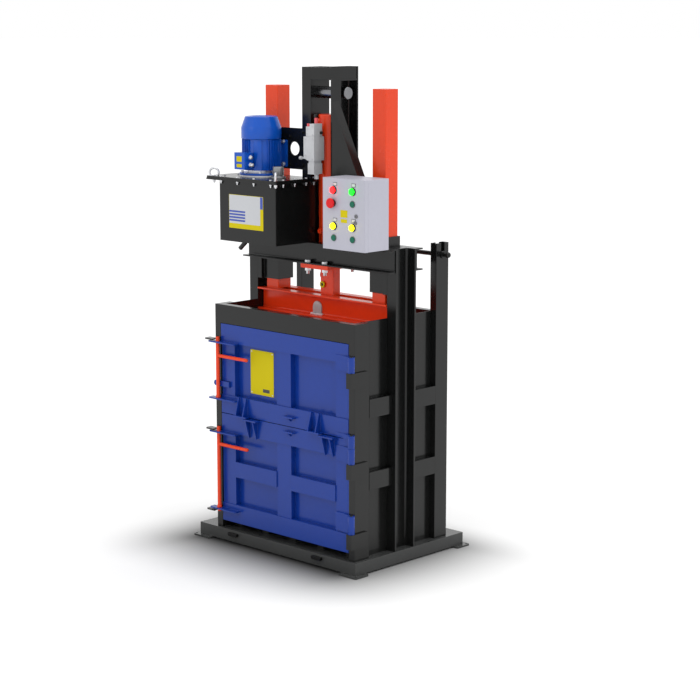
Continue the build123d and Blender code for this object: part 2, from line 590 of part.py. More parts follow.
with BuildPart() as tank_lid:
    with BuildSketch(Plane.XY.offset(LID_Z0)):
        with Locations(((LID_X0 + LID_X1) / 2 + OX, (LID_Y0 + LID_Y1) / 2 + OY)):
            RectangleRounded(LID_X1 - LID_X0, LID_Y1 - LID_Y0, 9)
    extrude(amount=LID_Z1 - LID_Z0)
    # raised seat that lands on the tank's rim
    with BuildSketch(Plane.XY.offset(tz1 + 8)):
        with Locations(((RIM_X0 + LID_X1) / 2 + OX, (LID_Y0 + LID_Y1 - 3) / 2 + OY)):
            Rectangle(LID_X1 - RIM_X0 - 2, LID_Y1 - LID_Y0 - 5)
        with Locations(((tx0 + tx1) / 2 + OX, (ty0 + ty1) / 2 + OY)):
            Rectangle(tx1 - tx0 - 8, ty1 - ty0 - 8, mode=Mode.SUBTRACT)
    extrude(amount=2)
    # machined seat for the motor's flange, cut off at the lid's rear edge
    rod_z(MOTX, MOTY, LID_Z1 - 1, MOT_Z0, 126.5)
    block(MOTX - 140, MOTX + 140, LID_Y1, LID_Y1 + 20, LID_Z0 - 1, MOT_Z0 + 1, mode=Mode.SUBTRACT)
    rod_z(MOTX, MOTY, LID_Z0 - 1, MOT_Z0 + 1, 60, mode=Mode.SUBTRACT)
    for bx, by in BOLTS:
        rod_z(bx, by, tz1 + 7, LID_Z1 + 1, 4.5, mode=Mode.SUBTRACT)
    for ex, ey, ea, er, eh in EYES:
        rod_z(ex, ey, tz1 + 7, LID_Z1 + 1, 5.5, mode=Mode.SUBTRACT)
save(tank_lid.part, "tank_lid")

with BuildPart() as lid_bolts:
    for bx, by in BOLTS:
        hex_z(bx, by, LID_Z1, LID_Z1 + 6, 12)
        rod_z(bx, by, tz1 - 18, LID_Z1 + 1, 4)
        hex_z(bx, by, tz1 - 8, tz1, 12)
save(lid_bolts.part, "lid_bolts")

with BuildPart() as lifting_eye:
    for ex, ey, ea, er, eh in EYES:
        with Locations(Location((ex + OX, ey + OY, LID_Z1 + eh), (0, 0, ea))):
            Torus(er, 6.5, rotation=(90, 0, 0))
    for ex, ey, ea, er, eh in EYES:
        # flat underside on the lid
        block(ex - 45, ex + 45, ey - 45, ey + 45, LID_Z1 - 20, LID_Z1, mode=Mode.SUBTRACT)
        rod_z(ex, ey, LID_Z1, LID_Z1 + 4, 10)
        rod_z(ex, ey, tz1 - 19, LID_Z1 + 4, 5)
        hex_z(ex, ey, tz1 - 13, tz1, 16)
save(lifting_eye.part, "lifting_eye")

with BuildPart() as filler_cap:
    fx, fy = -754.0, 157.0
    rod_z(fx, fy, LID_Z1, LID_Z1 + 8, 42)
    rod_z(fx, fy, LID_Z1 + 8, LID_Z1 + 18, 26)
    rod_z(fx, fy, LID_Z1 + 18, 2215, 31.5)
    fillet(filler_cap.edges().filter_by(GeomType.CIRCLE).group_by(Axis.Z)[-1], 4)
save(filler_cap.part, "filler_cap")

# ---- motor, feet to the rear, shaft down through the lid
FOOT_Y1 = 321.2
with BuildPart() as motor_body:
    rod_z(MOTX, MOTY, MOT_Z0, MOT_Z0 + 12, 126)
    block(MOTX - 140, MOTX + 140, LID_Y1, LID_Y1 + 20, MOT_Z0 - 1, MOT_Z0 + 13, mode=Mode.SUBTRACT)
    rod_z(MOTX, MOTY, MOT_Z0 + 12, MOT_Z0 + 28, 78)
    rod_z(MOTX, MOTY, MOT_Z0 + 28, 2373, 101.5)
    # cooling fins all round but for a smooth stretch on the right front, with a flat pad in it
    with BuildSketch(Plane.XY.offset(MOT_Z0 + 28)):
        with Locations((MOTX + OX, MOTY + OY)):
            with PolarLocations(105, 37, start_angle=-24, angular_range=298, endpoint=True):
                Rectangle(14, 3.2)
            with PolarLocations(98, 1, start_angle=-55):
                Rectangle(16, 46)
    extrude(amount=2361 - MOT_Z0 - 28)
    # seat of the terminal box
    with BuildSketch(Plane.XY.offset(2204)):
        with Locations((MOTX + 2 + OX, MOTY - 90 + OY)):
            Rectangle(70, 60)
        with Locations((MOTX + OX, MOTY + OY)):
            Circle(112, mode=Mode.INTERSECT)
    extrude(amount=79)
    # feet and their rails, against the bracket at the rear
    block(MOTX - 98, MOTX + 98, FOOT_Y1 - 11, FOOT_Y1, 2202, 2354)
    for s in (-1, 1):
        block(MOTX + s * 56 - 7, MOTX + s * 56 + 7, MOTY + 50, FOOT_Y1 - 10, 2202, 2354)
save(motor_body.part, "motor_body")

COWL_R = 115.2
with BuildPart() as motor_cowl:
    with BuildSketch(Plane.XY.offset(2365)):
        with Locations((MOTX + OX, MOTY + OY)):
            Circle(COWL_R)
    extrude(amount=61)
    with BuildSketch(Plane.XY.offset(2426)):
        with Locations((MOTX + OX, MOTY + OY)):
            Circle(COWL_R)
    with BuildSketch(Plane.XY.offset(2490)):
        with Locations((MOTX + OX, MOTY + OY)):
            Circle(92)
    loft()
    fillet(motor_cowl.edges().filter_by(GeomType.CIRCLE).group_by(Axis.Z)[-1], 6)
    rod_z(MOTX, MOTY, 2364, 2426, COWL_R - 3.5, mode=Mode.SUBTRACT)
    # the cowl's floor ring clamps on the body's end shield
    with BuildSketch(Plane.XY.offset(2373)):
        with Locations((MOTX + OX, MOTY + OY)):
            Circle(COWL_R - 3)
            Circle(60, mode=Mode.SUBTRACT)
    extrude(amount=3)
save(motor_cowl.part, "motor_cowl")

with BuildPart() as terminal_box:
    block(-984, -898, 30, 94, 2196, 2291)
    fillet(terminal_box.edges().filter_by(Axis.Z), 5)
    block(-976, -906, 90, MOTY - 60, 2204, 2283)
    rod_z(MOTX, MOTY, 2190, 2296, 112.3, mode=Mode.SUBTRACT)
    rod_x(-900, -886, 66, 2264, 13)
    rod_x(-900, -886, 66, 2222, 13)
save(terminal_box.part, "terminal_box")

# dark plate that holds the motor's feet and the valve, bolted to the tower
with BuildPart() as pump_bracket:
    with BuildSketch(Plane.XZ.offset(-(321.5 + OY))):
        with Locations(((-1046 - 585) / 2 + OX, (2190 + 2424) / 2)):
            RectangleRounded(461, 234, 12)
        with Locations((-790 + OX, 2307)):
            Circle(39, mode=Mode.SUBTRACT)
    extrude(amount=-7.5)
save(pump_bracket.part, "pump_bracket")

# ---- valve block
with BuildPart() as valve_block:
    vx1, vy0, vy1 = -553.0, 241.0, 321.5
    # main block with its lower left corner cut off, up against the bracket
    block(-636, vx1, vy0, vy1, 2253, 2386)
    prism_y([(-637, 2252), (-637, 2267.5), (-604, 2252)], vy0 - 1, vy1 + 1, mode=Mode.SUBTRACT)
    # neck and lower block
    block(-600, vx1 - 5, vy0 + 4, 304, 2236, 2254)
    block(-603, vx1, vy0, 306, 2177, 2237)
    # top block, lower on the left
    block(-613, vx1 - 3, vy0 + 3, 304, 2385, 2389)
    block(-616, vx1, vy0, 306, 2388, 2443)
    block(-587, vx1, vy0, 306, 2442, 2459)
    # stub to the tank, round caps, knob on its stem
    rod_z(-571.6, 280, 2149, 2178, 13)
    rod_z(-578, 285, 2458, 2490, 10.5)
    rod_z(-606, 252, 2442, 2459, 9)
    rod_x(-684, -620, 270, 2262, 4.5)
    rod_x(-697, -677, 270, 2262, 10)
    fillet([e for e in valve_block.edges().filter_by(GeomType.CIRCLE) if abs(e.radius - 10) < 0.01], 4)
save(valve_block.part, "valve_block")

# ================================================================ control cabinet
CAB_HX, CAB_HY = CAB_X0 - 3.4, CAB_Y0 + CAB_DOOR_T + 0.3
# box knuckle from, to, door knuckle from, to
CAB_KNUCKLES = ((1825.0, 1850.0, 1850.4, 1875.0), (2105.0, 2130.0, 2130.4, 2155.0))
with BuildPart() as cabinet_box:
    block(CAB_X0, CAB_X1, CAB_Y0 + CAB_DOOR_T + 0.6, CAB_Y1, CAB_Z0, CAB_Z1)
    fillet(cabinet_box.edges().filter_by(Axis.Y), 3)
    block(CAB_X0 + 3, CAB_X1 - 3, CAB_Y0, CAB_Y1 - 3, CAB_Z0 + 3, CAB_Z1 - 3, mode=Mode.SUBTRACT)
    for gx in (-215, -115):
        rod_z(gx, 190, CAB_Z0 - 10, CAB_Z0 + 1, 11)
    block(-200, -130, CAB_Y1 - 1, YF1 - BEAM_B, 1900, 2050)
    # hinge knuckles at the left, with the pins of the door
    for za, zb, pa, pb in CAB_KNUCKLES:
        rod_z(CAB_HX, CAB_HY, za, zb, 3.2)
        block(CAB_HX, CAB_X0 + 1, CAB_Y0 + CAB_DOOR_T + 0.6, CAB_HY + 3.2, za, zb)
        rod_z(CAB_HX, CAB_HY, min(za, pa), max(zb, pb), 1.5)
save(cabinet_box.part, "cabinet_box")

# x, z and hole radius of each operator on the cabinet's door
HOLES = {"red": (-240, 2122, 11.08), "green": (-96, 2121, 11.08), "estop": (-246, 2051, 11.08),
         "teal_top": (-97, 2053, 11.08), "yellow_left": (-238, 1926, 11.08), "yellow_right": (-96, 1926, 11.08),
         "teal_left": (-238, 1861, 11.08), "teal_right": (-96, 1861, 11.08),
         "lock_upper": (-70, 1989, 8.08), "lock_lower": (-76, 1953, 8.08)}
with BuildPart() as cabinet_door:
    block(CAB_X0, CAB_X1, CAB_Y0, CAB_Y0 + CAB_DOOR_T, CAB_Z0, CAB_Z1)
    fillet(cabinet_door.edges().filter_by(Axis.Z).group_by(Axis.Y)[0], 4)
    block(CAB_X0 + 3, CAB_X1 - 3, CAB_Y0 + 2.5, CAB_Y0 + CAB_DOOR_T + 1, CAB_Z0 + 3, CAB_Z1 - 3, mode=Mode.SUBTRACT)
    for hx, hz, hr in HOLES.values():
        rod_y(hx, CAB_Y0 - 1, CAB_Y0 + 4, hz, hr, mode=Mode.SUBTRACT)
    # bezel rings of the four lit buttons
    for k in ("red", "green", "yellow_left", "yellow_right"):
        hx, hz, hr = HOLES[k]
        rod_y(hx, CAB_Y0 - 7, CAB_Y0, hz, 20)
        rod_y(hx, CAB_Y0 - 8, CAB_Y0, hz, 17.4, mode=Mode.SUBTRACT)
    for za, zb, pa, pb in CAB_KNUCKLES:
        rod_z(CAB_HX, CAB_HY, pa, pb, 3.2)
        block(CAB_HX, CAB_X0 + 1, CAB_HY - 3.2, CAB_Y0 + CAB_DOOR_T, pa, pb)
        rod_z(CAB_HX, CAB_HY, pa - 1, pb + 1, 1.55, mode=Mode.SUBTRACT)
save(cabinet_door.part, "cabinet_door")


def button(k, out, head_in, head_r):
    # stem through the door's hole and a wider head outside it
    hx, hz, hr = HOLES[k]
    rod_y(hx, CAB_Y0 - head_in - 1, CAB_Y0 + 22, hz, 11.0)
    rod_y(hx, CAB_Y0 - out, CAB_Y0 - head_in, hz, head_r)
    front = button_part.edges().filter_by(GeomType.CIRCLE).group_by(Axis.Y)[0]
    fillet(front, 1.5)


with BuildPart() as button_part:
    button("red", 16, 4.5, 17.1)
save(button_part.part, "button_red")
with BuildPart() as button_part:
    button("green", 16, 4.5, 17.1)
save(button_part.part, "button_green")
with BuildPart() as button_part:
    button("yellow_left", 16, 4.5, 17.1)
save(button_part.part, "button_yellow_left")
with BuildPart() as button_part:
    button("yellow_right", 16, 4.5, 17.1)
save(button_part.part, "button_yellow_right")
with BuildPart() as button_part:
    button("teal_top", 8, 4.5, 16.5)
save(button_part.part, "button_teal_top")
with BuildPart() as button_part:
    button("teal_left", 8, 4.5, 16.5)
save(button_part.part, "button_teal_left")
with BuildPart() as button_part:
    button("teal_right", 8, 4.5, 16.5)
save(button_part.part, "button_teal_right")

# mushroom head
with BuildPart() as emergency_stop:
    hx, hz, hr = HOLES["estop"]
    rod_y(hx, CAB_Y0 - 12, CAB_Y0 + 22, hz, 11.0)
    with BuildSketch(Plane.XZ.offset(-(CAB_Y0 - 10 + OY))):
        with Locations((hx + OX, hz)):
            Circle(20)
    with BuildSketch(Plane.XZ.offset(-(CAB_Y0 - 18 + OY))):
        with Locations((hx + OX, hz)):
            Circle(28)
    loft()
    rod_y(hx, CAB_Y0 - 28, CAB_Y0 - 18, hz, 28)
    fillet(emergency_stop.edges().filter_by(GeomType.CIRCLE).group_by(Axis.Y)[0], 5)
save(emergency_stop.part, "emergency_stop")

def cabinet_lock(k):
    hx, hz, hr = HOLES[k]
    rod_y(hx, CAB_Y0 - 3, CAB_Y0 + 20, hz, 8.0)
    rod_y(hx, CAB_Y0 - 4.5, CAB_Y0 - 0.3, hz, 11)
    # keyway
    block(hx - 1.5, hx + 1.5, CAB_Y0 - 5, CAB_Y0 + 6, hz - 4, hz + 4, mode=Mode.SUBTRACT)
    # cam tongue behind the door
    block(hx - 6, hx + 26, CAB_Y0 + 14, CAB_Y0 + 17, hz - 6, hz + 6)


with BuildPart() as lock_part:
    cabinet_lock("lock_upper")
save(lock_part.part, "cabinet_lock_upper")
with BuildPart() as lock_part:
    cabinet_lock("lock_lower")
save(lock_part.part, "cabinet_lock_lower")

with BuildPart() as control_gear:
    block(CAB_X0 + 25, CAB_X1 - 25, CAB_Y1 - 8, CAB_Y1 - 3, CAB_Z0 + 30, CAB_Z1 - 30)
    for xa in (-285, -232, -179):
        block(xa, xa + 45, CAB_Y1 - 93, CAB_Y1 - 8, 2040, 2120)
    block(-118, -48, CAB_Y1 - 75, CAB_Y1 - 8, 2035, 2125)
    block(-290, -45, CAB_Y1 - 58, CAB_Y1 - 8, 1860, 1905)
save(control_gear.part, "control_gear")
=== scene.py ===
import bpy, bmesh, math
from mathutils import Vector, Matrix


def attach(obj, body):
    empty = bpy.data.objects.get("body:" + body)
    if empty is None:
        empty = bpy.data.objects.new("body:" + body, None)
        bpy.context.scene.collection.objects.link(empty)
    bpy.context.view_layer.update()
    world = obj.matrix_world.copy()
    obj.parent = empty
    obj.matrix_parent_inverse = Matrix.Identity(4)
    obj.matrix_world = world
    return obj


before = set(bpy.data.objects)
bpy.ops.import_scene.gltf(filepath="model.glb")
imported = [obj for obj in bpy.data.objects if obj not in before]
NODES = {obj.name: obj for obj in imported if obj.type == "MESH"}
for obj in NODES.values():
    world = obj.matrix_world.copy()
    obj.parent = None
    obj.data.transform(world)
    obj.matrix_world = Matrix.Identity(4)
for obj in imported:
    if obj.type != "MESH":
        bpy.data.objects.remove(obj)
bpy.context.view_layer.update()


# ------------------------------------------------------------------ places
def P(x, y, z):
    """Layout millimetres (base's front right corner) to the row frame in metres."""
    return Vector(((x + 640.0) / 1000.0, (y - 454.0) / 1000.0, z / 1000.0))


XM, YM = -586.5, 404.0


# ------------------------------------------------------------------ camera
AZ, PITCH = math.radians(43.9), math.radians(10.14)
fw = Vector((-math.sin(AZ) * math.cos(PITCH), math.cos(AZ) * math.cos(PITCH), -math.sin(PITCH)))
cam_data = bpy.data.cameras.new("camera")
cam = bpy.data.objects.new("camera", cam_data)
bpy.context.scene.collection.objects.link(cam)
cam.location = (7.632, -7.763, 3.087)
cam.rotation_mode = "QUATERNION"
cam.rotation_quaternion = fw.to_track_quat("-Z", "Y")
cam_data.sensor_width = 36.0
cam_data.lens = 97.87
cam_data.clip_start, cam_data.clip_end = 0.1, 200.0
bpy.context.scene.camera = cam
bpy.context.scene.view_settings.view_transform = "Standard"
bpy.context.scene.view_settings.look = "None"


# ------------------------------------------------------------------ materials
def srgb(c):
    return tuple((v / 12.92) if v <= 0.04045 else ((v + 0.055) / 1.055) ** 2.4 for v in c)


class Mat:
    """A small helper around one principled material and its nodes."""

    def __init__(self, name, rgb, rough=0.45, metal=0.0, coat=0.0, coat_rough=0.2, spec=0.5):
        self.m = bpy.data.materials.new(name)
        self.m.use_nodes = True
        nt = self.m.node_tree
        self.nt, self.N, self.L = nt, nt.nodes, nt.links
        self.b = self.N.get("Principled BSDF")
        self.rgb = srgb([v / 255.0 for v in rgb])
        self.b.inputs["Base Color"].default_value = (*self.rgb, 1)
        self.b.inputs["Roughness"].default_value = rough
        self.b.inputs["Metallic"].default_value = metal
        self.b.inputs["Specular IOR Level"].default_value = spec
        self.b.inputs["Coat Weight"].default_value = coat
        self.b.inputs["Coat Roughness"].default_value = coat_rough
        self.co = self.N.new("ShaderNodeTexCoord")
        self.col = None
        self.bump = None
        self.rough = rough

    def noise(self, scale, detail=4.0, rough=0.55, stretch=None, distortion=0.0):
        n = self.N.new("ShaderNodeTexNoise")
        n.inputs["Scale"].default_value = scale
        n.inputs["Detail"].default_value = detail
        n.inputs["Roughness"].default_value = rough
        n.inputs["Distortion"].default_value = distortion
        src = self.co.outputs["Object"]
        if stretch:
            mp = self.N.new("ShaderNodeMapping")
            mp.inputs["Scale"].default_value = stretch
            self.L.new(src, mp.inputs["Vector"])
            src = mp.outputs["Vector"]
        self.L.new(src, n.inputs["Vector"])
        return n.outputs["Fac"]

    def ramp(self, fac, lo, hi, a=(0, 0, 0, 1), b=(1, 1, 1, 1)):
        r = self.N.new("ShaderNodeValToRGB")
        r.color_ramp.elements[0].position = lo
        r.color_ramp.elements[1].position = hi
        r.color_ramp.elements[0].color = a
        r.color_ramp.elements[1].color = b
        self.L.new(fac, r.inputs["Fac"])
        return r.outputs["Color"]

    def maprange(self, fac, a, b, c, d):
        r = self.N.new("ShaderNodeMapRange")
        for k, v in zip(("From Min", "From Max", "To Min", "To Max"), (a, b, c, d)):
            r.inputs[k].default_value = v
        self.L.new(fac, r.inputs["Value"])
        return r.outputs["Result"]

    def mul(self, a, b):
        r = self.N.new("ShaderNodeMath")
        r.operation = "MULTIPLY"
        for s, v in ((r.inputs[0], a), (r.inputs[1], b)):
            if isinstance(v, (int, float)):
                s.default_value = v
            else:
                self.L.new(v, s)
        return r.outputs[0]

    def _colour(self):
        if self.col is None:
            c = self.N.new("ShaderNodeRGB")
            c.outputs[0].default_value = (*self.rgb, 1)
            self.col = c.outputs[0]
        return self.col

    def mix(self, fac, rgb, mode="MIX"):
        x = self.N.new("ShaderNodeMix")
        x.data_type = "RGBA"
        x.blend_type = mode
        if isinstance(fac, (int, float)):
            x.inputs["Factor"].default_value = fac
        else:
            self.L.new(fac, x.inputs["Factor"])
        self.L.new(self._colour(), x.inputs[6])
        x.inputs[7].default_value = (*srgb([v / 255.0 for v in rgb]), 1)
        self.col = x.outputs[2]
        self.L.new(self.col, self.b.inputs["Base Color"])
        return self

    def shade(self, fac, lo, hi):
        """Multiply the colour by a value running from lo to hi over fac's middle."""
        v = self.maprange(fac, 0.3, 0.7, lo, hi)
        x = self.N.new("ShaderNodeMix")
        x.data_type = "RGBA"
        x.blend_type = "MULTIPLY"
        x.inputs["Factor"].default_value = 1.0
        c = self.N.new("ShaderNodeCombineColor")
        for k in ("Red", "Green", "Blue"):
            self.L.new(v, c.inputs[k])
        self.L.new(self._colour(), x.inputs[6])
        self.L.new(c.outputs[0], x.inputs[7])
        self.col = x.outputs[2]
        self.L.new(self.col, self.b.inputs["Base Color"])
        return self

    def roughness(self, fac, lo, hi):
        self.L.new(self.maprange(fac, 0.3, 0.7, lo, hi), self.b.inputs["Roughness"])
        return self

    def bumps(self, fac, strength, distance):
        bp = self.N.new("ShaderNodeBump")
        bp.inputs["Strength"].default_value = strength
        bp.inputs["Distance"].default_value = distance
        self.L.new(fac, bp.inputs["Height"])
        if self.bump is not None:
            self.L.new(self.bump, bp.inputs["Normal"])
        self.bump = bp.outputs["Normal"]
        self.L.new(self.bump, self.b.inputs["Normal"])
        return self

    def axis(self, i):
        s = self.N.new("ShaderNodeSeparateXYZ")
        self.L.new(self.co.outputs["Object"], s.inputs[0])
        return s.outputs[i]


def paint(name, rgb, rough=0.42, coat=0.15, depth=1.0, peel=260.0, spec=0.34):
    """Sprayed satin enamel: slow tone drift, faint orange peel, dust that dulls the gloss in patches."""
    m = Mat(name, rgb, rough=rough, coat=coat, coat_rough=0.25, spec=spec)
    m.shade(m.noise(1.7, 3.0, 0.5), 1.0 - 0.05 * depth, 1.0 + 0.05 * depth)
    m.shade(m.noise(38.0, 5.0, 0.6), 1.0 - 0.03 * depth, 1.0 + 0.03 * depth)
    m.roughness(m.noise(7.0, 5.0, 0.6), rough - 0.03, rough + 0.05)
    m.bumps(m.noise(peel, 1.0, 0.4), 0.05, 0.0002)
    return m


DARK = paint("paint_dark_steel", (17, 18, 18), rough=0.18, coat=0.0)
# faint dust low on the legs and the base, thin scuffs
_h = DARK.maprange(DARK.axis(2), 0.0, 0.9, 0.02, 0.0)
DARK.mix(DARK.mul(_h, DARK.noise(24.0, 6.0, 0.7)), (150, 146, 138))
# painted light: the base gets a lighter copy of the dark steel paint to make up for the shade it stands in on the
# floor, and takes a little more dust
BASE = paint("paint_base_steel_painted_light", (60, 61, 61), rough=0.18, coat=0.0)
BASE.mix(BASE.mul(0.03, BASE.noise(30.0, 6.0, 0.7)), (150, 146, 138))
# the base's front face above 32 mm is painted near black
BASE.mix(BASE.mul(BASE.maprange(BASE.axis(1), -0.4543, -0.4547, 0.0, 1.0), BASE.maprange(BASE.axis(2), 0.030, 0.032, 0.0, 1.0)), (5, 5, 5))
DOOR = paint("paint_door_blue", (12, 52, 140), rough=0.22, coat=0.0)
RAM = paint("paint_ram_red", (224, 60, 20), rough=0.22, coat=0.0)
BARS = paint("paint_guide_bar", (221, 60, 14), rough=0.24, coat=0.0)
# the bars slide in their sleeves: faint vertical drag marks
BARS.bumps(BARS.noise(60.0, 1.0, 0.5, stretch=(10, 10, 0.1)), 0.03, 0.0003)
BARS.shade(BARS.noise(40.0, 2.0, 0.5, stretch=(10, 10, 0.2)), 0.975, 1.025)
LOCKS = paint("paint_lock_rod", (224, 62, 18), rough=0.24, coat=0.0)
MOTOR = paint("paint_motor_blue", (10, 80, 182), rough=0.22, coat=0.0)
CAB = paint("paint_cabinet", (175, 175, 187), rough=0.34, coat=0.0, depth=0.5, peel=420.0)
CAPGREY = paint("paint_cap_grey", (110, 113, 113), rough=0.30, coat=0.0)
GEAR = paint("moulded_grey", (140, 142, 144), rough=0.50, coat=0.0)

CHROME = Mat("chrome_rod", (228, 229, 232), rough=0.08, metal=1.0)
CHROME.roughness(CHROME.noise(30.0, 2.0, 0.5, stretch=(8, 8, 0.4)), 0.06, 0.14)
CHROME.bumps(CHROME.noise(80.0, 2.0, 0.5, stretch=(10, 10, 0.3)), 0.03, 0.0003)

ZINC = Mat("zinc_plated", (216, 217, 220), rough=0.34, metal=0.85)
ZINC.shade(ZINC.noise(70.0, 4.0, 0.6), 0.90, 1.05)
ZINC.roughness(ZINC.noise(50.0, 5.0, 0.6), 0.26, 0.44)
ZINC.bumps(ZINC.noise(420.0, 2.0, 0.5), 0.06, 0.0003)

VALVE = Mat("cast_aluminium", (196, 197, 200), rough=0.40, metal=0.0, spec=0.4)
VALVE.shade(VALVE.noise(26.0, 4.0, 0.6), 0.93, 1.05)
VALVE.bumps(VALVE.noise(330.0, 3.0, 0.6), 0.10, 0.0005)
# red caps: the tall one, and the short one on the lower left step
_tall = VALVE.maprange(VALVE.axis(2), 2.4594, 2.4598, 0.0, 1.0)
VALVE.mix(_tall, (222, 88, 92))
_short = VALVE.mul(VALVE.maprange(VALVE.axis(2), 2.4434, 2.4438, 0.0, 1.0), VALVE.maprange(VALVE.axis(0), 0.0480, 0.0476, 0.0, 1.0))
VALVE.mix(_short, (222, 88, 92))

CAPMETAL = Mat("brushed_cap", (150, 152, 154), rough=0.36, metal=0.6)
CAPMETAL.shade(CAPMETAL.noise(50.0, 3.0, 0.5, stretch=(1, 1, 12)), 0.92, 1.06)
CAPMETAL.roughness(CAPMETAL.noise(40.0, 4.0, 0.6), 0.30, 0.42)

BLACKP = Mat("moulded_black", (26, 26, 27), rough=0.5)
BLACKP.bumps(BLACKP.noise(500.0, 2.0, 0.5), 0.08, 0.0003)
BLACKP.shade(BLACKP.noise(40.0, 3.0, 0.5), 0.9, 1.1)

RUBBER = Mat("hose_black", (20, 20, 21), rough=0.62)
RUBBER.bumps(RUBBER.noise(300.0, 3.0, 0.6), 0.1, 0.0004)
RUBBER.shade(RUBBER.noise(30.0, 3.0, 0.5), 0.85, 1.15)


BARSTEEL = Mat("turned_bar_steel", (128, 129, 132), rough=0.22, metal=1.0)
BARSTEEL.roughness(BARSTEEL.noise(30.0, 3.0, 0.5, stretch=(0.4, 8, 8)), 0.18, 0.32)
BARSTEEL.shade(BARSTEEL.noise(40.0, 3.0, 0.5), 0.92, 1.05)


def plastic(name, rgb, glow=0.0, rough=0.28, light=None):
    m = Mat(name, rgb, rough=rough, coat=0.0, spec=0.25)
    m.shade(m.noise(60.0, 3.0, 0.5), 0.97, 1.03)
    m.bumps(m.noise(260.0, 2.0, 0.5), 0.04, 0.0002)
    if glow:
        m.b.inputs["Emission Color"].default_value = (*light, 1)
        m.b.inputs["Emission Strength"].default_value = glow
    return m


RED_LIT = plastic("lens_red", (190, 16, 18), glow=9.0, light=(1.0, 0.0045, 0.005))
GREEN_LIT = plastic("lens_green", (14, 170, 30), glow=6.0, light=(0.004, 1.0, 0.008))
YELLOW_LIT = plastic("lens_yellow", (190, 180, 14), glow=5.0, light=(1.0, 0.93, 0.004))
TEAL = plastic("button_teal", (12, 98, 76))
STOP_RED = plastic("stop_red", (212, 18, 24), rough=0.34)
LOCK_GREY = Mat("lock_grey", (112, 112, 116), rough=0.36, metal=0.6)
LOCK_GREY.bumps(LOCK_GREY.noise(400.0, 2.0, 0.5), 0.05, 0.0002)
LOCK_GREY.shade(LOCK_GREY.noise(60.0, 3.0, 0.5), 0.92, 1.06)


def decal(name, rgb, rough=0.35):
    m = Mat(name, rgb, rough=rough, coat=0.2, coat_rough=0.15)
    m.shade(m.noise(4.0, 3.0, 0.5), 0.98, 1.02)
    m.bumps(m.noise(900.0, 2.0, 0.5), 0.03, 0.0001)
    return m


YELLOW = Mat("plate_yellow", (200, 184, 0), rough=0.55, spec=0.15)
YELLOW.shade(YELLOW.noise(4.0, 3.0, 0.5), 0.98, 1.02)
YELLOW.bumps(YELLOW.noise(900.0, 2.0, 0.5), 0.03, 0.0001)
WHITE = decal("plate_white", (186, 188, 192))
PLATE_BLUE = decal("plate_blue", (36, 66, 160))
PLATE_GREY = decal("plate_grey", (150, 152, 156))
PLATE_DARK = decal("plate_dark", (36, 36, 30))
ARCH = decal("plate_arch_grey", (176, 178, 180))
BRIGHT = decal("machined_rim", (222, 223, 226))
LEGEND_EDGE = decal("legend_edge", (92, 93, 96))
LEGEND = decal("legend_field", (196, 197, 200))

MATERIAL = {
    "piston_rod": CHROME, "rod_clevis": RAM, "clevis_pin": RAM, "crosshead": RAM, "ram_platen": RAM,
    "guide_bar_left": BARS, "guide_bar_right": BARS, "cylinder_barrel": RAM, "cylinder_gland": ZINC,
    "flange_fasteners": ZINC, "lid_bolts": ZINC, "lifting_eye": ZINC, "base_frame": BASE, "foot_plates": BASE, "lifting_bar": BARSTEEL, "filler_cap": CAPMETAL,
    "motor_body": MOTOR, "motor_cowl": MOTOR, "terminal_box": MOTOR, "valve_block": VALVE,
    "cabinet_box": CAB, "cabinet_door": CAB, "control_gear": GEAR, "upper_door": DOOR, "lower_door": DOOR,
    "upper_lock_rod": LOCKS, "lower_lock_rod": LOCKS, "emergency_stop": STOP_RED, "button_red": RED_LIT,
    "button_green": GREEN_LIT, "button_yellow_left": YELLOW_LIT, "button_yellow_right": YELLOW_LIT,
    "button_teal_top": TEAL, "button_teal_left": TEAL, "button_teal_right": TEAL,
    "cabinet_lock_upper": LOCK_GREY, "cabinet_lock_lower": LOCK_GREY,
}
BEVEL = {"upper_door": 1.6, "lower_door": 1.6, "cabinet_door": 0.8, "cabinet_box": 1.5, "motor_body": 0.6, "valve_block": 2.0,
         "lid_bolts": 0.6, "flange_fasteners": 1.0, "control_gear": 1.5}
NO_BEVEL = {"button_red", "button_green", "button_yellow_left", "button_yellow_right", "button_teal_top", "button_teal_left",
            "button_teal_right", "emergency_stop", "lifting_eye", "reel_bar", "lifting_bar", "piston_rod"}
for name, ob in NODES.items():
    mat = MATERIAL.get(name, DARK).m
    ob.data.materials.clear()
    ob.data.materials.append(mat)
    if name not in NO_BEVEL:
        wd = ob.modifiers.new("weld", "WELD")
        wd.merge_threshold = 0.00001
        bv = ob.modifiers.new("bevel", "BEVEL")
        bv.limit_method = "ANGLE"
        bv.angle_limit = math.radians(40)
        bv.width = BEVEL.get(name, 1.4) / 1000.0
        bv.segments = 2
        bv.harden_normals = False


# ------------------------------------------------------------------ mesh building
def add(name, bm, mat, body, smooth=None):
    me = bpy.data.meshes.new(name)
    bmesh.ops.recalc_face_normals(bm, faces=bm.faces)
    bm.to_mesh(me)
    bm.free()
    ob = bpy.data.objects.new(name, me)
    bpy.context.scene.collection.objects.link(ob)
    me.materials.append(mat.m)
    if smooth is not None:
        me.polygons.foreach_set("use_smooth", [True] * len(me.polygons))
        me.set_sharp_from_angle(angle=math.radians(smooth))
    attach(ob, body)
    return ob


def box_into(bm, lo, hi, bevel=0.0, seg=2):
    """A bevelled box, corners in layout millimetres."""
    a, b = P(*lo), P(*hi)
    r = bmesh.ops.create_cube(bm, size=1.0)
    vs = r["verts"]
    c, d = (a + b) / 2, b - a
    for v in vs:
        v.co = Vector((c.x + v.co.x * abs(d.x), c.y + v.co.y * abs(d.y), c.z + v.co.z * abs(d.z)))
    if bevel:
        es = list({e for v in vs for e in v.link_edges})
        bmesh.ops.bevel(bm, geom=es, offset=bevel / 1000.0, segments=seg, profile=0.5, affect="EDGES")


